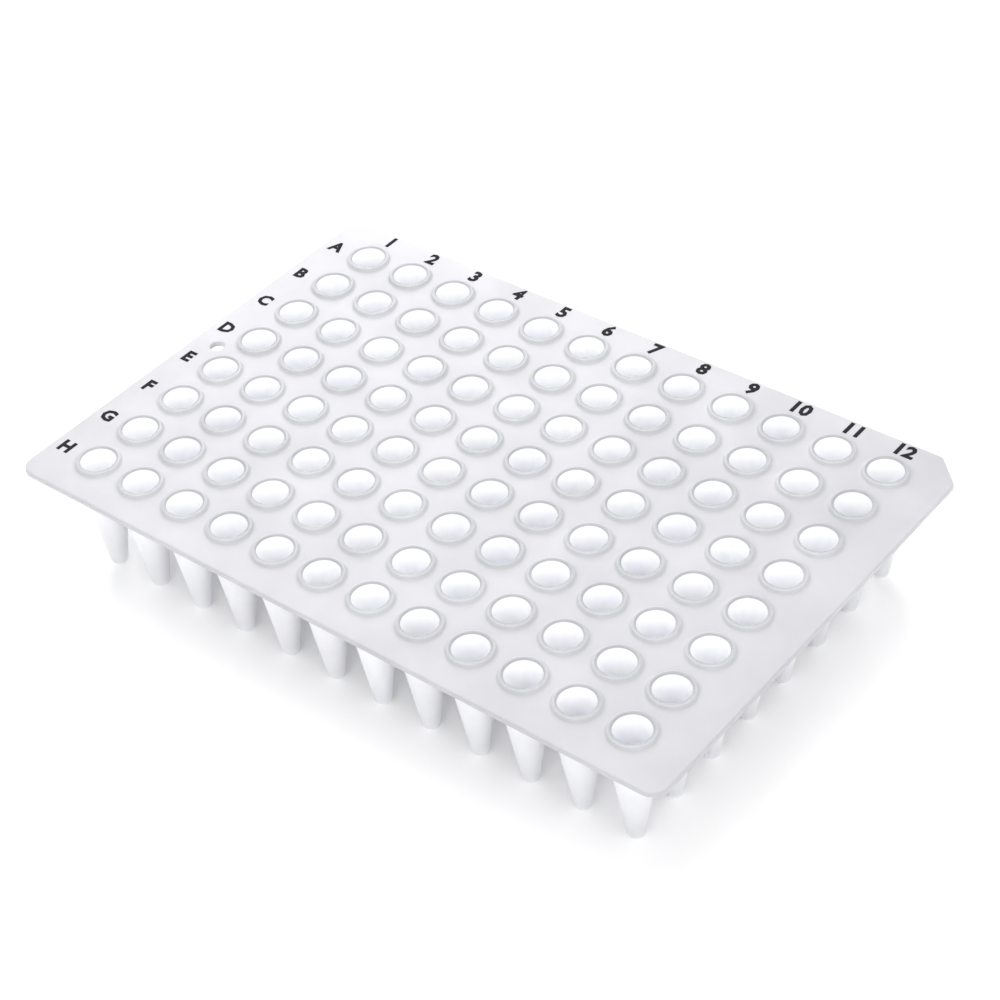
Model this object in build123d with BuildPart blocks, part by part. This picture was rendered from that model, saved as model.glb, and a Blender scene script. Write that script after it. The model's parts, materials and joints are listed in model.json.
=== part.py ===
from build123d import *

import math
import os

# A 96-well PCR plate without a skirt: one thin-walled polypropylene moulding.
# Frame: +Z up and Z = 0 where the well tips stand. X runs along a row of wells from
# column 1 to column 12, and Y along a column of wells from row H to row A. The origin
# is under the middle of the well grid.

# --- well grid ---
COLUMNS = 12
ROWS = 8
PITCH = 9.0

# --- deck: the flat sheet that carries the wells ---
DECK_LENGTH = 118.0
DECK_WIDTH = 78.5
DECK_THICKNESS = 1.0
DECK_CORNER_RADIUS = 2.5
DECK_EDGE_ROUND = 0.2
KEY_CHAMFER = 4.5  # cut corner beside well A12, which shows which way round the plate is
KEY_CORNER_RADIUS = 1.2  # where the cut corner runs into the deck's edges

# --- rim: the raised ring round each mouth, which a film or a cap seals on ---
RIM_OUTER_DIAMETER = 7.0
RIM_HEIGHT = 0.6
RIM_DRAFT = 0.1  # how much the ring draws in from the deck to its flat top

# --- well: a straight mouth, then a cone down to a blunt tip ---
WELL_HEIGHT = 20.6  # from the rim to the tip
MOUTH_DIAMETER = 5.46
MOUTH_DEPTH = 8.0
WALL = 0.35
CONE_HALF_ANGLE = 8.3
TIP_ROUND = 1.0  # outside, from the cone to the small flat that stands on the bench
FLOOR_THICKNESS = 0.5

# --- locating hole in the deck's margin, between rows D and E ---
LOCATING_HOLE_DIAMETER = 2.4
LOCATING_HOLE_MARGIN = 4.5  # from the deck's left edge to the middle of the hole

# --- levels and radii that follow ---
RIM_Z = WELL_HEIGHT
DECK_TOP_Z = RIM_Z - RIM_HEIGHT
DECK_BOTTOM_Z = DECK_TOP_Z - DECK_THICKNESS
SHOULDER_Z = RIM_Z - MOUTH_DEPTH  # where the straight mouth becomes the cone
RIM_RADIUS = RIM_OUTER_DIAMETER / 2
MOUTH_RADIUS = MOUTH_DIAMETER / 2
NECK_RADIUS = MOUTH_RADIUS + WALL
CONE_TAPER = math.tan(math.radians(CONE_HALF_ANGLE))  # radius lost for each mm of depth
TIP_RADIUS = NECK_RADIUS - CONE_TAPER * SHOULDER_Z
FLOOR_RADIUS = MOUTH_RADIUS - CONE_TAPER * (SHOULDER_Z - FLOOR_THICKNESS)

os.makedirs("parts", exist_ok=True)

# The outside of one well and its rim, turned about the well's own axis.
with BuildPart() as well_outside:
    with BuildSketch(Plane.XZ):
        with BuildLine():
            Polyline(
                (0, 0),
                (TIP_RADIUS, 0),
                (NECK_RADIUS, SHOULDER_Z),
                (NECK_RADIUS, DECK_TOP_Z),
                (RIM_RADIUS, DECK_TOP_Z),
                (RIM_RADIUS - RIM_DRAFT, RIM_Z),
                (0, RIM_Z),
                close=True,
            )
        make_face()
    revolve(axis=Axis.Z)
    fillet(well_outside.edges().group_by(Axis.Z)[0], TIP_ROUND)

# The space inside one well, cut after every outside is in place.
with BuildPart() as well_inside:
    with BuildSketch(Plane.XZ):
        with BuildLine():
            Polyline(
                (0, FLOOR_THICKNESS),
                (FLOOR_RADIUS, FLOOR_THICKNESS),
                (MOUTH_RADIUS, SHOULDER_Z),
                (MOUTH_RADIUS, RIM_Z),
                (0, RIM_Z),
                close=True,
            )
        make_face()
    revolve(axis=Axis.Z)

with BuildPart() as plate:
    # deck, with one corner cut and the others rounded
    with BuildSketch(Plane.XY.offset(DECK_BOTTOM_Z)) as deck_outline:
        Rectangle(DECK_LENGTH, DECK_WIDTH)
        corners = deck_outline.vertices().sort_by(lambda corner: corner.X + corner.Y)
        chamfer(corners[-1], KEY_CHAMFER)
        corners = deck_outline.vertices().sort_by(lambda corner: corner.X + corner.Y)
        fillet(corners[-2:], KEY_CORNER_RADIUS)
        fillet(corners[:3], DECK_CORNER_RADIUS)
    extrude(amount=DECK_THICKNESS)
    levels = plate.edges().group_by(Axis.Z)
    fillet(levels[0] + levels[-1], DECK_EDGE_ROUND)

    # wells on their grid
    with GridLocations(PITCH, PITCH, COLUMNS, ROWS):
        add(well_outside.part)
    with GridLocations(PITCH, PITCH, COLUMNS, ROWS):
        add(well_inside.part, mode=Mode.SUBTRACT)

    # locating hole
    with Locations((LOCATING_HOLE_MARGIN - DECK_LENGTH / 2, 0, DECK_TOP_Z)):
        Hole(LOCATING_HOLE_DIAMETER / 2, depth=DECK_THICKNESS)

plate.part.label = "plate"
export_step(plate.part, "parts/plate.step")
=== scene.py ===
"""A skirtless 96-well plate: its moulding in natural plastic, its printed index and a studio."""

import json
import math

import bmesh
import bpy
from bpy.props import FloatProperty, FloatVectorProperty, IntProperty, PointerProperty
from mathutils import Matrix, Quaternion, Vector


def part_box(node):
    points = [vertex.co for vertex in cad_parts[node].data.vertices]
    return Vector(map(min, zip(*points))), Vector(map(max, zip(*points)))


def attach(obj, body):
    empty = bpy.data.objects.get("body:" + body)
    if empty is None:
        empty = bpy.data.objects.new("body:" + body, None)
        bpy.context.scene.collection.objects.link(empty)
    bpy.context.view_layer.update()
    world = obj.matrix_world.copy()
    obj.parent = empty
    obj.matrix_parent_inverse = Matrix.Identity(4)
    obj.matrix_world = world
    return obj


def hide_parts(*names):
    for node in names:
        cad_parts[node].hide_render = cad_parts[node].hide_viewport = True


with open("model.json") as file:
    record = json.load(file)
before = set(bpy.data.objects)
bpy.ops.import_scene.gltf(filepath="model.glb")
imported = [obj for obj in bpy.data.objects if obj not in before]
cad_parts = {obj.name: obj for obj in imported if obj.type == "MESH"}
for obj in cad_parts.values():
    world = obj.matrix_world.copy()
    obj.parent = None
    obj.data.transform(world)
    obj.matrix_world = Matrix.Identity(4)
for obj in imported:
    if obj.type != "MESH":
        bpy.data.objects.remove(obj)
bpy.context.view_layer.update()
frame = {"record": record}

bl_info = {
    "name": "Skirtless well plate",
    "version": (1, 0, 0),
    "blender": (4, 5, 0),
    "location": "3D View > Sidebar > Well plate",
    "description": "Builds a thin-walled well plate, its printed index and a plain studio",
    "category": "Object",
}

# ---------------------------------------------------------------- what the frame says
MM = 0.001  # one millimetre, in metres
NODE = "plate"
BODY = "root"
LOW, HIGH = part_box(NODE)
MOUNTS = {mount["name"]: mount for mount in frame["record"]["mounts"]}
FIRST_WELL = MOUNTS["well_a1"]
LAST_WELL = MOUNTS["well_h12"]
HOLE = MOUNTS["locating_hole"]
COLUMNS = 12
ROWS = 8
ROW_LETTERS = "ABCDEFGH"
PITCH = (LAST_WELL["pos_m"][0] - FIRST_WELL["pos_m"][0]) / (COLUMNS - 1)


# ---------------------------------------------------------------- node trees in plain Python
MIX_COLOURS_IN = (6, 7)  # a Mix node's sockets for colours, which share names with others
MIX_COLOUR_OUT = 2


class Value:
    """One output of a node, with the arithmetic that adds Math nodes behind it."""

    def __init__(self, tree, node, socket):
        self.tree = tree
        self.node = node
        self.socket = socket

    def out(self, name):
        """Another output of the same node."""
        return Value(self.tree, self.node, self.node.outputs[name])

    def _math(self, operation, first, second=0.0):
        settings = {"operation": operation}
        return self.tree.add("ShaderNodeMath", settings, {0: first, 1: second})

    def __add__(self, other):
        return self._math("ADD", self, other)

    def __radd__(self, other):
        return self._math("ADD", other, self)

    def __sub__(self, other):
        return self._math("SUBTRACT", self, other)

    def __rsub__(self, other):
        return self._math("SUBTRACT", other, self)

    def __mul__(self, other):
        return self._math("MULTIPLY", self, other)

    def __rmul__(self, other):
        return self._math("MULTIPLY", other, self)

    def __mod__(self, other):
        return self._math("FLOORED_MODULO", self, other)

    def __neg__(self):
        return self._math("MULTIPLY", self, -1.0)

    def __abs__(self):
        return self._math("ABSOLUTE", self)

    def tangent(self):
        return self._math("TANGENT", self)

    def smaller(self, other):
        return self._math("MINIMUM", self, other)

    def larger(self, other):
        return self._math("MAXIMUM", self, other)

    def rise(self, level, fade):
        """Goes smoothly from 0 to 1 over a fade, whose start and end are told from the level."""
        start, end = fade
        return self.tree.add(
            "ShaderNodeMapRange", {"interpolation_type": "SMOOTHSTEP"},
            {"Value": self, "From Min": level + start, "From Max": level + end})


class Tree:
    """A node tree, with one method that adds any node."""

    def __init__(self, owner):
        self.nodes = owner.nodes
        self.links = owner.links
        self.nodes.clear()

    def add(self, kind, settings=None, inputs=None, output=0):
        """Adds a node, sets it up, then fills its sockets with values or links.

        The setting called items is how many values an index switch chooses from.
        """
        node = self.nodes.new(kind)
        for name, value in (settings or {}).items():
            if name == "items":
                for _ in range(value - len(node.index_switch_items)):
                    node.index_switch_items.new()
            else:
                setattr(node, name, value)
        for name, value in (inputs or {}).items():
            for one in value if isinstance(value, list) else [value]:
                if isinstance(one, Value):
                    self.links.new(one.socket, node.inputs[name])
                else:
                    node.inputs[name].default_value = one
        return Value(self, node, node.outputs[output]) if node.outputs else node

    def point(self, x=0.0, y=0.0, z=0.0):
        return self.add("ShaderNodeCombineXYZ", {}, {0: x, 1: y, 2: z})

    def length(self, vector):
        return self.add("ShaderNodeVectorMath", {"operation": "LENGTH"}, {0: vector}, "Value")

    def blend(self, amount, first, second):
        """A colour that goes from the first to the second as the amount goes from 0 to 1."""
        colours = {
            socket: colour if isinstance(colour, Value) else (*colour, 1.0)
            for socket, colour in zip(MIX_COLOURS_IN, (first, second))}
        return self.add(
            "ShaderNodeMix", {"data_type": "RGBA"}, {0: amount, **colours}, MIX_COLOUR_OUT)

    def noise(self, place, scale, detail):
        return self.add(
            "ShaderNodeTexNoise", {},
            {"Vector": place, "Scale": scale, "Detail": detail}, "Fac")


def new_material(name):
    material = bpy.data.materials.new(name)
    material.use_nodes = True
    return material, Tree(material.node_tree)


# ---------------------------------------------------------------- what a user may change
class PlateSizes(bpy.types.PropertyGroup):
    """Sizes of the moulding."""

    pitch: FloatProperty(
        name="Pitch", description="From one well to the next", default=PITCH, unit="LENGTH")
    mouth_diameter: FloatProperty(
        name="Mouth diameter", description="Bore of a well at its mouth",
        default=2 * FIRST_WELL["dims"]["r_mm"] * MM, unit="LENGTH")
    mouth_depth: FloatProperty(
        name="Mouth depth", description="Straight part of a well below its rim",
        default=FIRST_WELL["dims"]["length_mm"] * MM, unit="LENGTH")
    well_height: FloatProperty(
        name="Well height", description="From the rim to the tip", default=HIGH.z,
        unit="LENGTH")
    wall: FloatProperty(
        name="Wall", description="Thickness of a well's wall", default=0.35 * MM,
        unit="LENGTH")
    cone_angle: FloatProperty(
        name="Cone half-angle", description="Slope of a well's cone",
        default=math.radians(8.3), subtype="ANGLE")
    tip_round: FloatProperty(
        name="Tip round", description="Radius between the cone and the flat of the tip",
        default=1.0 * MM, unit="LENGTH")
    floor_thickness: FloatProperty(
        name="Floor", description="Thickness of a well's floor", default=0.5 * MM,
        unit="LENGTH")
    rim_diameter: FloatProperty(
        name="Rim diameter", description="Outside of the ring round a mouth",
        default=7.0 * MM, unit="LENGTH")
    rim_draft: FloatProperty(
        name="Rim draft", description="How much the ring draws in towards its top",
        default=0.1 * MM, unit="LENGTH")
    deck_top: FloatProperty(
        name="Deck level", description="Height of the deck's upper face",
        default=HOLE["pos_m"][2], unit="LENGTH")
    deck_thickness: FloatProperty(
        name="Deck thickness", description="Thickness of the flat sheet",
        default=HOLE["dims"]["length_mm"] * MM, unit="LENGTH")
    deck_length: FloatProperty(
        name="Deck length", description="Along the rows", default=HIGH.x - LOW.x,
        unit="LENGTH")
    deck_width: FloatProperty(
        name="Deck width", description="Along the columns", default=HIGH.y - LOW.y,
        unit="LENGTH")
    corner_radius: FloatProperty(
        name="Corner radius", description="Rounding of the deck's corners",
        default=2.5 * MM, unit="LENGTH")
    key_cut: FloatProperty(
        name="Key corner", description="How much of the corner beside A12 is cut off",
        default=4.5 * MM, unit="LENGTH")
    key_radius: FloatProperty(
        name="Key rounding", description="Where the cut runs into the deck's edges",
        default=1.2 * MM, unit="LENGTH")
    edge_round: FloatProperty(
        name="Edge round", description="Rounding of the deck's upper and lower edges",
        default=0.2 * MM, unit="LENGTH")
    hole_x: FloatProperty(
        name="Locating hole", description="Place of the small hole along X",
        default=HOLE["pos_m"][0], unit="LENGTH")
    hole_radius: FloatProperty(
        name="Hole radius", description="Radius of the small hole",
        default=HOLE["dims"]["r_mm"] * MM, unit="LENGTH")
    around: IntProperty(
        name="Facets", description="Faces round each well", default=36, min=8)


class PlateFinish(bpy.types.PropertyGroup):
    """Colours and gloss of the plastic; the walls', bores', rims', flanks' and lips' colours hold
    painted light and painted shade.
    """

    sheet_colour: FloatVectorProperty(
        name="Sheet", description="The flat sheet, where the plastic is thick",
        subtype="COLOR", default=(0.485, 0.482, 0.505))
    # Painted light: the walls' outside is painted lighter than the sheet, for light passing
    # through the thin walls.
    wall_colour: FloatVectorProperty(
        name="Walls", description="The outside of the thin walls", subtype="COLOR",
        default=(0.86, 0.862, 0.88))
    # Painted light: the bores are painted lighter than the sheet, for light passing into the
    # wells through the thin walls.
    bore_colour: FloatVectorProperty(
        name="Bores", description="The inside of the wells", subtype="COLOR",
        default=(0.92, 0.922, 0.945))
    # Painted shade: the rings' tops are painted darker than the sheet.
    rim_colour: FloatVectorProperty(
        name="Rim", description="The top of the ring round a mouth", subtype="COLOR",
        default=(0.45, 0.454, 0.475))
    # Painted light: the rings' outer flanks are painted lighter than the rings' tops, against the
    # shade on the flanks.
    flank_colour: FloatVectorProperty(
        name="Flank", description="The outer flank of the ring", subtype="COLOR",
        default=(0.55, 0.554, 0.57))
    # Painted shade: a dark line is painted round each mouth, where a wall stands on edge.
    lip_colour: FloatVectorProperty(
        name="Lip", description="Round a mouth, where a wall stands on edge",
        subtype="COLOR", default=(0.375, 0.379, 0.397))
    clouding: FloatProperty(
        name="Clouding", description="How strong the flow clouds of the melt are",
        default=0.3)
    roughness: FloatProperty(
        name="Roughness", description="Roughness of the satin sheet", default=0.36)
    light_path: FloatProperty(
        name="Light path", description="How far light goes through the thick plastic",
        default=0.12 * MM, unit="LENGTH")
    wall_light_path: FloatProperty(
        name="Light path in walls", description="How far light goes through the thin walls",
        default=3.0 * MM, unit="LENGTH")


class PlateIndex(bpy.types.PropertyGroup):
    """The index printed along two margins of the deck."""

    letter_height: FloatProperty(
        name="Letter height", description="Cap height of the row letters",
        default=2.4 * MM, unit="LENGTH")
    number_height: FloatProperty(
        name="Number height", description="Height of the column numbers",
        default=2.6 * MM, unit="LENGTH")
    letter_x: FloatProperty(
        name="Letter column", description="Centre line of the row letters, along X",
        default=LOW.x + 2.6 * MM, unit="LENGTH")
    number_y: FloatProperty(
        name="Number row", description="Centre line of the column numbers, along Y",
        default=HIGH.y - 1.85 * MM, unit="LENGTH")
    boldness: FloatProperty(
        name="Boldness", description="How far the strokes are thickened",
        default=0.16 * MM, unit="LENGTH")
    ink_thickness: FloatProperty(
        name="Ink thickness", description="How proud the ink stands",
        default=0.02 * MM, unit="LENGTH")
    ink_colour: FloatVectorProperty(
        name="Ink", description="Colour of the ink", subtype="COLOR",
        default=(0.012, 0.012, 0.014))
    thin_ink_colour: FloatVectorProperty(
        name="Thin ink", description="Where the plastic shows through the ink",
        subtype="COLOR", default=(0.08, 0.08, 0.085))


class PlateStudio(bpy.types.PropertyGroup):
    """The floor, the light and the camera."""

    floor_size: FloatProperty(
        name="Floor size", description="Side of the floor", default=6.0, unit="LENGTH")
    floor_lightness: FloatProperty(
        name="Floor lightness", description="How much light the floor returns", default=0.9)
    floor_glow: FloatProperty(
        name="Floor glow", description="Light that the floor gives by itself", default=0.05)
    sky: FloatProperty(
        name="Sky", description="Strength of the even light all round", default=0.83)
    overhead: FloatProperty(
        name="Overhead", description="Watts of the softbox above the plate", default=0.95)
    sheen: FloatProperty(
        name="Sheen", description="Watts of the low softbox behind the plate", default=1.45)
    front_fill: FloatProperty(
        name="Front fill", description="Watts of the softbox in front", default=8.5)
    right_fill: FloatProperty(
        name="Right fill", description="Watts of the softbox at the right", default=3.5)
    lens: FloatProperty(
        name="Lens", description="Focal length, in millimetres, on a 36 mm sensor",
        default=87.0)
    azimuth: FloatProperty(
        name="Azimuth", description="Where the camera stands round the plate",
        default=math.radians(41.17), subtype="ANGLE")
    elevation: FloatProperty(
        name="Elevation", description="How high the camera stands",
        default=math.radians(40.43), subtype="ANGLE")
    roll: FloatProperty(
        name="Roll", description="Turn of the camera about its own axis",
        default=math.radians(4.8), subtype="ANGLE")
    distance: FloatProperty(
        name="Distance", description="From the camera to what it is aimed at",
        default=0.351, unit="LENGTH")
    aim: FloatVectorProperty(
        name="Aim", description="The point that the camera looks at",
        default=(0.0069, -0.0051, HIGH.z), unit="LENGTH")


# ---------------------------------------------------------------- the moulding's shape, in mm
COLLAR_SHARE = 0.465  # radius of the turned part of each well's cell, as a share of the pitch
HOLE_FACETS = 32
SHARP = (0.0, 1)  # radius and steps of a corner that isn't rounded
FOOT = (0.28, 2)  # where a ring stands on the deck
RIM = (0.2, 2)
SHOULDER = (10.0, 2)  # where the straight mouth turns into the cone
FLOOR = (0.5, 2)
NECK = (0.35, 2)  # under the deck, round a well
HOLE_EDGE = (0.1, 2)
TIP_STEPS = 4
CORNER_STEPS = 8
EDGE_STEPS = 3
LAP = 2.0  # how far the deck's edge laps over its flat faces, in roundings of the edge
WELD = 0.001


def input_name(name):
    """What the moulding's tree calls one of the sizes."""
    return name.replace("_", " ").capitalize()


def polyline(tree, corners, closed=False):
    """A curve through corners of (x, y, radius, steps), each rounded by its own radius."""
    index = tree.add("GeometryNodeInputIndex")
    count = len(corners)

    def by_index(data_type, values):
        inputs = {str(number): value for number, value in enumerate(values)}
        return tree.add(
            "GeometryNodeIndexSwitch", {"data_type": data_type, "items": count},
            {"Index": index, **inputs})

    line = tree.add("GeometryNodeMeshLine", {}, {"Count": count})
    line = tree.add(
        "GeometryNodeSetPosition", {},
        {"Geometry": line,
         "Position": by_index("VECTOR", [tree.point(x, y) for x, y, *_ in corners])})
    curve = tree.add("GeometryNodeMeshToCurve", {}, {"Mesh": line})
    curve = tree.add("GeometryNodeSetSplineCyclic", {}, {"Geometry": curve, "Cyclic": closed})
    return tree.add(
        "GeometryNodeFilletCurve", {"mode": "POLY"},
        {"Curve": curve, "Count": by_index("INT", [steps for *_, steps in corners]),
         "Radius": by_index("FLOAT", [radius for _, _, radius, _ in corners])})


def circle(tree, facets, radius, x=0.0):
    ring = tree.add(
        "GeometryNodeCurvePrimitiveCircle", {}, {"Resolution": facets, "Radius": radius})
    return tree.add(
        "GeometryNodeTransform", {}, {"Geometry": ring, "Translation": tree.point(x)})


def sweep(tree, path, profile):
    """A profile of (outwards, height, radius, steps) carried along a level path."""
    path = tree.add("GeometryNodeSetCurveNormal", {"mode": "Z_UP"}, {"Curve": path})
    profile = polyline(tree, [(x, -z, *rounding) for x, z, *rounding in profile])
    return tree.add("GeometryNodeCurveToMesh", {}, {"Curve": path, "Profile Curve": profile})


def join(tree, *parts):
    return tree.add("GeometryNodeJoinGeometry", {}, {"Geometry": list(parts)})


def weld(tree, geometry):
    return tree.add(
        "GeometryNodeMergeByDistance", {}, {"Geometry": geometry, "Distance": WELD})


def well_grid(tree, size, top, bottom):
    """The inside and outside of every well, each a turned profile, on the grid."""
    rim_top = size("well_height")
    shoulder = rim_top - size("mouth_depth")
    mouth = size("mouth_diameter") * 0.5
    neck = mouth + size("wall")
    rim = size("rim_diameter") * 0.5
    taper = size("cone_angle").tangent()
    floor = size("floor_thickness")
    floor_radius = mouth - taper * (shoulder - floor)
    tip = neck - taper * shoulder
    collar = size("pitch") * COLLAR_SHARE

    def turn(profile):
        return sweep(
            tree, circle(tree, size("around"), collar),
            [(radius - collar, z, *rounding) for radius, z, *rounding in profile])

    inside = turn([
        (0.0, floor, *SHARP),
        (floor_radius, floor, *FLOOR),
        (mouth, shoulder, *SHOULDER),
        (mouth, rim_top, *RIM),
        (rim - size("rim_draft"), rim_top, *RIM),
        (rim, top, *FOOT),
        (collar, top, *SHARP),
    ])
    outside = turn([
        (collar, bottom, *SHARP),
        (neck, bottom, *NECK),
        (neck, shoulder, *SHOULDER),
        (tip, 0.0, size("tip_round"), TIP_STEPS),
        (0.0, 0.0, *SHARP),
    ])
    grid = tree.add(
        "GeometryNodeMeshGrid", {},
        {"Size X": size("pitch") * (COLUMNS - 1), "Size Y": size("pitch") * (ROWS - 1),
         "Vertices X": COLUMNS, "Vertices Y": ROWS})
    wells = tree.add(
        "GeometryNodeInstanceOnPoints", {},
        {"Points": grid, "Instance": join(tree, inside, outside)})
    return tree.add("GeometryNodeRealizeInstances", {}, {"Geometry": wells})


def deck_edges(tree, size, top, bottom):
    """The rounded edge of the deck, and the wall of the locating hole."""
    right = size("deck_length") * 0.5
    back = size("deck_width") * 0.5
    corner = size("corner_radius")
    cut = size("key_cut")
    outline = polyline(tree, [
        (-right, -back, corner, CORNER_STEPS),
        (right, -back, corner, CORNER_STEPS),
        (right, back - cut, size("key_radius"), CORNER_STEPS),
        (right - cut, back, size("key_radius"), CORNER_STEPS),
        (-right, back, corner, CORNER_STEPS),
    ], closed=True)
    edge = size("edge_round")
    lap = edge * LAP
    band = sweep(tree, outline, [
        (-lap, top, *SHARP), (0.0, top, edge, EDGE_STEPS),
        (0.0, bottom, edge, EDGE_STEPS), (-lap, bottom, *SHARP)])
    hole = circle(tree, HOLE_FACETS, size("hole_radius"), size("hole_x"))
    hole_wall = sweep(tree, hole, [
        (lap, bottom, *SHARP), (0.0, bottom, *HOLE_EDGE),
        (0.0, top, *HOLE_EDGE), (lap, top, *SHARP)])
    return join(tree, band, hole_wall)


def flat_faces(tree, shell, top, bottom):
    """The deck's two flat faces, filled between the open borders of the shell."""
    position = tree.add("GeometryNodeInputPosition")
    height = tree.add("ShaderNodeSeparateXYZ", {}, {0: position}, "Z")
    open_edge = tree.add(
        "FunctionNodeCompare", {"data_type": "INT", "operation": "EQUAL"},
        {"A": tree.add("GeometryNodeInputMeshEdgeNeighbors"), "B": 1})

    def fill(operation, level):
        on_level = tree.add(
            "FunctionNodeCompare", {"data_type": "FLOAT", "operation": operation},
            {"A": height, "B": (top + bottom) * 0.5})
        border = tree.add(
            "FunctionNodeBooleanMath", {"operation": "AND"}, {0: open_edge, 1: on_level})
        curves = tree.add("GeometryNodeMeshToCurve", {}, {"Mesh": shell, "Selection": border})
        face = tree.add("GeometryNodeFillCurve", {"mode": "TRIANGLES"}, {"Curve": curves})
        return tree.add(
            "GeometryNodeTransform", {},
            {"Geometry": face, "Translation": tree.point(z=level)})

    under = tree.add("GeometryNodeFlipFaces", {}, {"Mesh": fill("LESS_THAN", bottom)})
    return join(tree, fill("GREATER_THAN", top), under)


def moulding_tree(material):
    """The whole moulding as a node tree, with PlateSizes as its inputs."""
    group = bpy.data.node_groups.new("moulding", "GeometryNodeTree")
    group.interface.new_socket("Geometry", in_out="OUTPUT", socket_type="NodeSocketGeometry")
    for name, prop in PlateSizes.__annotations__.items():
        kind = "NodeSocketInt" if prop.function is IntProperty else "NodeSocketFloat"
        group.interface.new_socket(input_name(name), in_out="INPUT", socket_type=kind)
    tree = Tree(group)
    sizes = tree.add("NodeGroupInput")

    def size(name):
        return sizes.out(input_name(name))

    top = size("deck_top")
    bottom = top - size("deck_thickness")
    wells = well_grid(tree, size, top, bottom)
    shell = weld(tree, join(tree, wells, deck_edges(tree, size, top, bottom)))
    whole = weld(tree, join(tree, shell, flat_faces(tree, shell, top, bottom)))
    whole = tree.add(
        "GeometryNodeTransform", {}, {"Geometry": whole, "Scale": (MM, MM, MM)})
    whole = tree.add("GeometryNodeSetShadeSmooth", {}, {"Geometry": whole})
    whole = tree.add("GeometryNodeRealizeInstances", {}, {"Geometry": whole})
    whole = tree.add(
        "GeometryNodeSetMaterial", {}, {"Geometry": whole, "Material": material})
    tree.add("NodeGroupOutput", {}, {0: whole})
    return group


def tree_inputs(sizes):
    """The tree's inputs by name, with lengths in millimetres."""
    values = {}
    for name, prop in PlateSizes.__annotations__.items():
        value = getattr(sizes, name)
        values[input_name(name)] = value / MM if prop.keywords.get("unit") else value
    return values


def from_tree(name, group, values):
    """A plain mesh object from a node tree whose inputs take these values."""
    piece = bpy.data.objects.new(name, bpy.data.meshes.new(name))
    bpy.context.scene.collection.objects.link(piece)
    modifier = piece.modifiers.new("build", "NODES")
    modifier.node_group = group
    for item in group.interface.items_tree:
        if item.in_out == "INPUT":
            modifier[item.identifier] = values[item.name]
    piece.update_tag()
    depsgraph = bpy.context.evaluated_depsgraph_get()
    mesh = bpy.data.meshes.new_from_object(piece.evaluated_get(depsgraph))
    piece.modifiers.remove(modifier)
    mesh.name = name
    piece.data = mesh
    mesh.materials.pop(index=0)  # the empty slot that comes before the tree's own material
    return piece


# ---------------------------------------------------------------- materials
# Where one colour fades into another: the start and the end of the fade.
UNDERSIDE_FADE = (-0.6 * MM, 0.0)  # up from the deck's underside
FLOOR_FADE = (0.3, 0.7)  # up from the tip, in shares of the floor's thickness
SKIN_FADE = (-0.9, -0.7)  # outwards from a wall's outside, in shares of its thickness
GRID_FADE = (0.0, MM)  # outwards from the cells of the outermost wells
HOLE_FADE = (0.0, 0.1 * MM)  # outwards from the locating hole's wall
RING_FADE = (0.05 * MM, 0.4 * MM)  # up from the deck
FLANK_FADE = (-0.3 * MM, -0.1 * MM)  # outwards from a ring's outside
FLANK_FOOT_FADE = (0.02 * MM, 0.15 * MM)  # up from the deck
LIP_FADE = (-0.05 * MM, 0.12 * MM)  # outwards from a neck's outside
LIP_TOP_FADE = (-0.3 * MM, -0.1 * MM)  # up from the rim
# Painted light: the locating hole's wall is painted partway to the walls' lighter colour, against
# the shade in the hole.
HOLE_PAINTED_LIGHT = 0.3  # how near the locating hole's wall comes to the walls' colour
LIGHTEST = 0.999

CLOUDS = (90.0, 4.0)  # scale and detail of each pattern
GRAIN = (6000.0, 3.0)
WAVES = (160.0, 1.0)
MEAN = 0.5  # what every pattern varies about
GRAIN_ON_COLOUR = 0.06
GRAIN_ON_ROUGHNESS = 0.2
GRAIN_HEIGHT = 0.5  # as shares of the bump's height
WAVE_HEIGHT = 3.0
BUMP_HEIGHT = 0.04 * MM
BUMP_STRENGTH = 0.5
PLASTIC_IOR = 1.49

INK_GRAIN = (9000.0, 2.0)
THIN_INK_FADE = (0.0, 0.3)
THIN_INK_SHARE = 0.4
INK_ROUGHNESS = 0.6
INK_IOR = 1.5
INK_SPECULAR = 0.1

FLOOR_ROUGHNESS = 0.9
WHITE = (1.0, 1.0, 1.0, 1.0)


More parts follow.
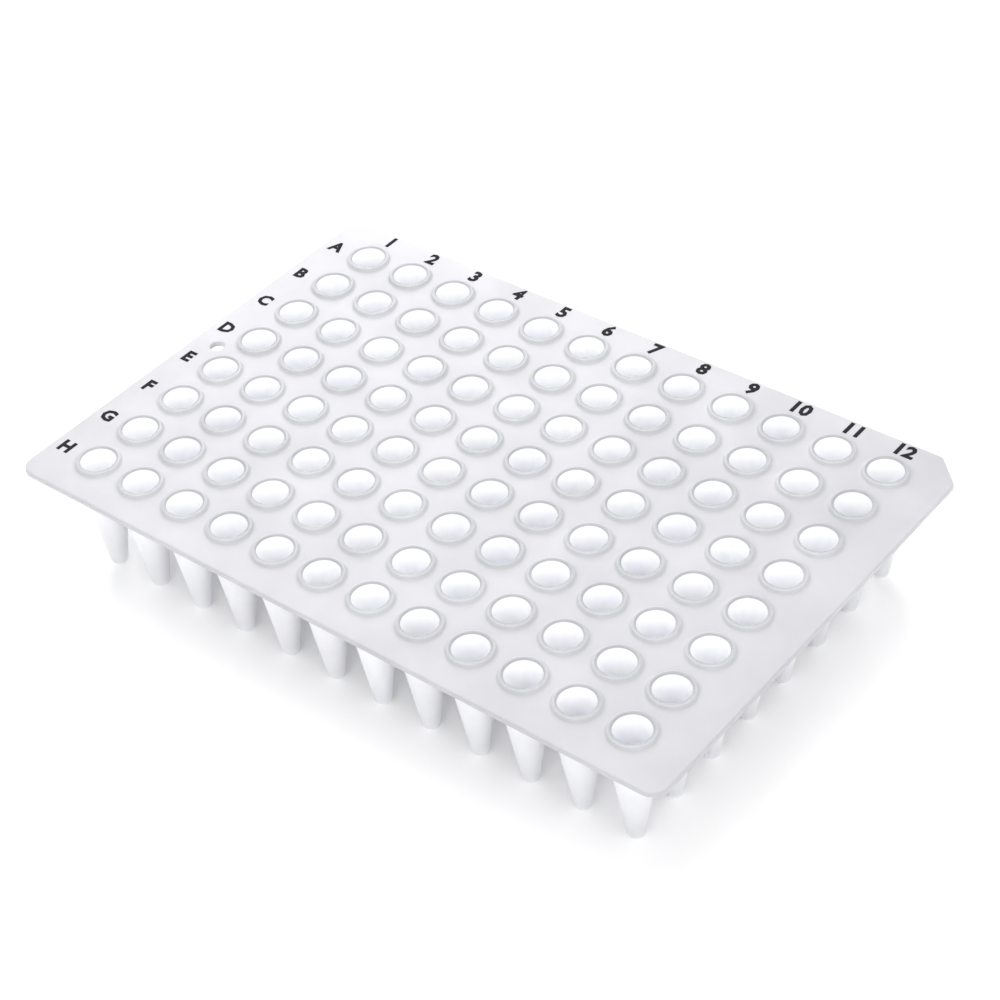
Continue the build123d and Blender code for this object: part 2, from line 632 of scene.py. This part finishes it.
def plastic_colour(tree, place, finish, sizes, grain):
    """The mask of the walls' outside, and the plastic's colour.

    Painted light and shade: walls and bores are painted lighter for light through thin plastic,
    ring tops and lips darker as shade, flanks and the hole's wall lighter against shade.
    """
    x = tree.add("ShaderNodeSeparateXYZ", {}, {0: place})
    y, z = x.out("Y"), x.out("Z")
    half = sizes.pitch / 2.0
    radius = tree.length(tree.point(x % sizes.pitch - half, y % sizes.pitch - half))
    on_grid = (1.0 - abs(x).rise(COLUMNS * half, GRID_FADE)) * (
        1.0 - abs(y).rise(ROWS * half, GRID_FADE))

    neck = sizes.mouth_diameter / 2.0 + sizes.wall
    rim = sizes.rim_diameter / 2.0
    rim_top = sizes.well_height
    deck_top = sizes.deck_top
    underside = deck_top - sizes.deck_thickness
    slope = math.tan(sizes.cone_angle)
    outer_skin = (z * slope + neck - slope * (rim_top - sizes.mouth_depth)).smaller(neck)
    floor_fade = [share * sizes.floor_thickness for share in FLOOR_FADE]
    skin_fade = [share * sizes.wall for share in SKIN_FADE]

    below = 1.0 - z.rise(underside, UNDERSIDE_FADE)
    in_bore = on_grid * z.rise(0.0, floor_fade) * (
        1.0 - (radius - outer_skin).rise(0.0, skin_fade))
    outside = below * (1.0 - in_bore)
    from_hole = tree.length(tree.point(x - sizes.hole_x, y))
    at_hole = 1.0 - from_hole.rise(sizes.hole_radius, HOLE_FADE)
    on_ring = z.rise(deck_top, RING_FADE) * (1.0 - in_bore)
    on_flank = radius.rise(rim, FLANK_FADE) * z.rise(deck_top, FLANK_FOOT_FADE)
    on_lip = z.rise(rim_top, LIP_TOP_FADE) * (1.0 - radius.rise(neck, LIP_FADE))

    # Painted light: the walls' outside, and partly the locating hole's wall, are painted lighter
    # than the sheet.
    colour = tree.blend(
        below.larger(at_hole * HOLE_PAINTED_LIGHT), finish.sheet_colour, finish.wall_colour)
    # Painted light: the bores are painted lighter, for light passing through the thin walls.
    colour = tree.blend(in_bore, colour, finish.bore_colour)
    # Painted shade: the rings' tops are painted darker.
    colour = tree.blend(on_ring, colour, finish.rim_colour)
    # Painted light: the rings' outer flanks are painted lighter, against their shade.
    colour = tree.blend(on_flank, colour, finish.flank_colour)
    # Painted shade: a dark line is painted round each mouth, where a wall stands on edge.
    colour = tree.blend(on_lip, colour, finish.lip_colour)

    clouds = (tree.noise(place, *CLOUDS) - MEAN) * finish.clouding
    cloudy = clouds + (grain - MEAN) * GRAIN_ON_COLOUR + 1.0
    colour = tree.add(
        "ShaderNodeVectorMath", {"operation": "SCALE"}, {0: colour, "Scale": cloudy})
    colour = tree.add(
        "ShaderNodeVectorMath", {"operation": "MINIMUM"}, {0: colour, 1: (LIGHTEST,) * 3})
    return outside, colour


def natural_polypropylene(finish, sizes):
    """Milky satin plastic with flow clouds and a fine grain, clearer where it is thin, its colour
    holding painted light and shade by region.
    """
    material, tree = new_material("natural_polypropylene")
    place = tree.add("ShaderNodeTexCoord", {}, {}, "Object")
    grain = tree.noise(place, *GRAIN)
    relief = grain * GRAIN_HEIGHT + tree.noise(place, *WAVES) * WAVE_HEIGHT
    bump = tree.add(
        "ShaderNodeBump", {},
        {"Strength": BUMP_STRENGTH, "Distance": BUMP_HEIGHT, "Height": relief})
    roughness = (grain - MEAN) * GRAIN_ON_ROUGHNESS + finish.roughness
    outside, colour = plastic_colour(tree, place, finish, sizes, grain)
    sheet, wall = [
        tree.add(
            "ShaderNodeBsdfPrincipled", {"subsurface_method": "RANDOM_WALK"},
            {"Base Color": colour, "Roughness": roughness, "IOR": PLASTIC_IOR,
             "Subsurface Weight": 1.0, "Subsurface Radius": (1.0, 1.0, 1.0),
             "Subsurface Scale": path, "Normal": bump})
        for path in (finish.light_path, finish.wall_light_path)]
    shader = tree.add("ShaderNodeMixShader", {}, {0: outside, 1: sheet, 2: wall})
    tree.add("ShaderNodeOutputMaterial", {}, {"Surface": shader})
    return material


def index_ink(index):
    """Matt black ink, a little thin where the pad pressed less."""
    material, tree = new_material("index_ink")
    place = tree.add("ShaderNodeTexCoord", {}, {}, "Object")
    grain = tree.noise(place, *INK_GRAIN)
    thin = grain.rise(MEAN, THIN_INK_FADE) * THIN_INK_SHARE
    colour = tree.blend(thin, index.ink_colour, index.thin_ink_colour)
    roughness = grain * GRAIN_ON_ROUGHNESS + INK_ROUGHNESS
    shader = tree.add(
        "ShaderNodeBsdfPrincipled", {},
        {"Base Color": colour, "Roughness": roughness, "IOR": INK_IOR,
         "Specular IOR Level": INK_SPECULAR})
    tree.add("ShaderNodeOutputMaterial", {}, {"Surface": shader})
    return material


def white_floor(studio):
    """A matt white floor that returns most of the light and glows a little."""
    material, tree = new_material("white_floor")
    shader = tree.add(
        "ShaderNodeBsdfPrincipled", {},
        {"Base Color": (*[studio.floor_lightness] * 3, 1.0), "Roughness": FLOOR_ROUGHNESS,
         "Emission Color": WHITE, "Emission Strength": studio.floor_glow})
    tree.add("ShaderNodeOutputMaterial", {}, {"Surface": shader})
    return material


# ---------------------------------------------------------------- operators
CAP_SHARE = 0.72  # cap height of the built-in font, as a share of its size
LETTER_STEPS = 2  # along each curve of a character
DEEP_BOUNCES = 12
SOFTBOXES = {  # azimuth and elevation in degrees, distance and width in metres
    "overhead": (236.0, 80.0, 0.45, 0.35),
    "sheen": (225.0, 32.5, 0.7, 0.34),
    "front_fill": (28.0, 33.0, 1.6, 1.0),
    "right_fill": (85.0, 28.0, 1.6, 1.0),
}


class PLATE_OT_moulding(bpy.types.Operator):
    """Builds the moulded plate."""

    bl_idname = "plate.moulding"
    bl_label = "Build the moulding"

    def execute(self, context):
        sizes = context.scene.plate_sizes
        plastic = natural_polypropylene(context.scene.plate_finish, sizes)
        plate = from_tree("plate_moulding", moulding_tree(plastic), tree_inputs(sizes))
        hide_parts(NODE)
        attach(plate, BODY)
        return {"FINISHED"}


class PLATE_OT_index(bpy.types.Operator):
    """Prints the row letters and the column numbers."""

    bl_idname = "plate.index"
    bl_label = "Print the index"

    def execute(self, context):
        index = context.scene.plate_index
        ink = index_ink(index)
        left, back = FIRST_WELL["pos_m"][:2]
        rows = [
            (letter, index.letter_x, back - row * PITCH)
            for row, letter in enumerate(ROW_LETTERS)]
        columns = [
            (str(column + 1), left + column * PITCH, index.number_y)
            for column in range(COLUMNS)]
        self.add_print("row_letters", rows, index.letter_height, index, ink)
        self.add_print("column_numbers", columns, index.number_height, index, ink)
        return {"FINISHED"}

    def add_print(self, name, characters, height, index, ink):
        """One piece of ink for a whole margin of characters."""
        whole = bmesh.new()
        for text, x, y in characters:
            mesh = self.character(text, height, index)
            mesh.transform(Matrix.Translation((x, y, HOLE["pos_m"][2])))
            whole.from_mesh(mesh)
            bpy.data.meshes.remove(mesh)
        mesh = bpy.data.meshes.new(name)
        whole.to_mesh(mesh)
        whole.free()
        mesh.materials.append(ink)
        piece = bpy.data.objects.new(name, mesh)
        bpy.context.scene.collection.objects.link(piece)
        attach(piece, BODY)

    def character(self, text, height, index):
        """A closed slab of ink in the shape of a text, standing on the origin's plane."""
        curve = bpy.data.curves.new(text, "FONT")
        curve.body = text
        curve.size = height / CAP_SHARE
        curve.offset = index.boldness
        curve.extrude = index.ink_thickness / 2.0
        curve.resolution_u = LETTER_STEPS
        writer = bpy.data.objects.new(text, curve)
        bpy.context.scene.collection.objects.link(writer)
        evaluated = writer.evaluated_get(bpy.context.evaluated_depsgraph_get())
        mesh = bpy.data.meshes.new_from_object(evaluated)
        bpy.data.objects.remove(writer)
        bpy.data.curves.remove(curve)

        slab = bmesh.new()
        slab.from_mesh(mesh)
        bmesh.ops.remove_doubles(slab, verts=slab.verts, dist=WELD * MM)
        bmesh.ops.beautify_fill(slab, faces=slab.faces, edges=slab.edges)
        bmesh.ops.recalc_face_normals(slab, faces=slab.faces)
        xs, ys, zs = zip(*[vertex.co for vertex in slab.verts])
        middle = Vector(((min(xs) + max(xs)) / 2.0, (min(ys) + max(ys)) / 2.0, min(zs)))
        bmesh.ops.translate(slab, verts=slab.verts, vec=-middle)
        slab.to_mesh(mesh)
        slab.free()
        return mesh


class PLATE_OT_studio(bpy.types.Operator):
    """Builds the floor, the lights and the camera."""

    bl_idname = "plate.studio"
    bl_label = "Build the studio"

    def execute(self, context):
        studio = context.scene.plate_studio
        self.add_floor(studio)
        self.add_sky(studio)
        for name, place in SOFTBOXES.items():
            self.add_softbox(f"{name}_softbox", *place, getattr(studio, name))
        self.add_camera(studio)
        scene = context.scene
        scene.view_settings.view_transform = "Standard"
        if hasattr(scene, "cycles"):  # light bounces many times inside white wells
            scene.cycles.diffuse_bounces = DEEP_BOUNCES
            scene.cycles.max_bounces = 2 * DEEP_BOUNCES
        return {"FINISHED"}

    def add_floor(self, studio):
        """One square under the plate."""
        half = studio.floor_size / 2.0
        corners = [(-half, -half, 0.0), (half, -half, 0.0), (half, half, 0.0), (-half, half, 0.0)]
        mesh = bpy.data.meshes.new("floor")
        mesh.from_pydata(corners, [], [(0, 1, 2, 3)])
        mesh.materials.append(white_floor(studio))
        floor = bpy.data.objects.new("floor", mesh)
        bpy.context.scene.collection.objects.link(floor)

    def add_sky(self, studio):
        """The same light from all round."""
        world = bpy.data.worlds.new("studio")
        world.use_nodes = True
        tree = Tree(world.node_tree)
        sky = tree.add(
            "ShaderNodeBackground", {}, {"Color": WHITE, "Strength": studio.sky})
        tree.add("ShaderNodeOutputWorld", {}, {"Surface": sky})
        bpy.context.scene.world = world

    @staticmethod
    def direction(azimuth, elevation):
        """From the plate towards what stands at these angles, with azimuth 0 in front."""
        return Vector((
            math.sin(azimuth) * math.cos(elevation),
            -math.cos(azimuth) * math.cos(elevation), math.sin(elevation)))

    def add_softbox(self, name, azimuth, elevation, distance, width, watts):
        """A square light that faces the plate and that the camera doesn't see."""
        light = bpy.data.lights.new(name, "AREA")
        light.size = width
        light.energy = watts
        softbox = bpy.data.objects.new(name, light)
        outwards = self.direction(math.radians(azimuth), math.radians(elevation))
        softbox.location = outwards * distance
        softbox.rotation_mode = "QUATERNION"
        softbox.rotation_quaternion = outwards.to_track_quat("Z", "Y")
        softbox.visible_camera = False
        bpy.context.scene.collection.objects.link(softbox)

    def add_camera(self, studio):
        """The camera, turned about its own axis by the roll."""
        data = bpy.data.cameras.new("camera")
        data.lens = studio.lens
        camera = bpy.data.objects.new("camera", data)
        outwards = self.direction(studio.azimuth, studio.elevation)
        camera.location = Vector(studio.aim) + outwards * studio.distance
        camera.rotation_mode = "QUATERNION"
        upright = outwards.to_track_quat("Z", "Y")
        camera.rotation_quaternion = upright @ Quaternion((0.0, 0.0, 1.0), -studio.roll)
        bpy.context.scene.collection.objects.link(camera)
        bpy.context.scene.camera = camera


class PLATE_PT_sidebar(bpy.types.Panel):
    """The plate's builders, each with what it may be told."""

    bl_label = "Well plate"
    bl_idname = "PLATE_PT_sidebar"
    bl_space_type = "VIEW_3D"
    bl_region_type = "UI"
    bl_category = "Well plate"

    def draw(self, context):
        scene = context.scene
        for operator, groups in (
                (PLATE_OT_moulding, (scene.plate_sizes, scene.plate_finish)),
                (PLATE_OT_index, (scene.plate_index,)),
                (PLATE_OT_studio, (scene.plate_studio,))):
            box = self.layout.box()
            box.operator(operator.bl_idname)
            for group in groups:
                for name in type(group).__annotations__:
                    box.prop(group, name)


CLASSES = (
    PlateSizes, PlateFinish, PlateIndex, PlateStudio,
    PLATE_OT_moulding, PLATE_OT_index, PLATE_OT_studio, PLATE_PT_sidebar)
SETTINGS = {
    "plate_sizes": PlateSizes, "plate_finish": PlateFinish,
    "plate_index": PlateIndex, "plate_studio": PlateStudio}


def register():
    for item in CLASSES:
        bpy.utils.register_class(item)
    for name, group in SETTINGS.items():
        setattr(bpy.types.Scene, name, PointerProperty(type=group))


def unregister():
    for name in SETTINGS:
        delattr(bpy.types.Scene, name)
    for item in reversed(CLASSES):
        bpy.utils.unregister_class(item)


def main():
    """Builds everything."""
    register()
    bpy.ops.plate.moulding()
    bpy.ops.plate.index()
    bpy.ops.plate.studio()


if __name__ == "__main__":
    main()
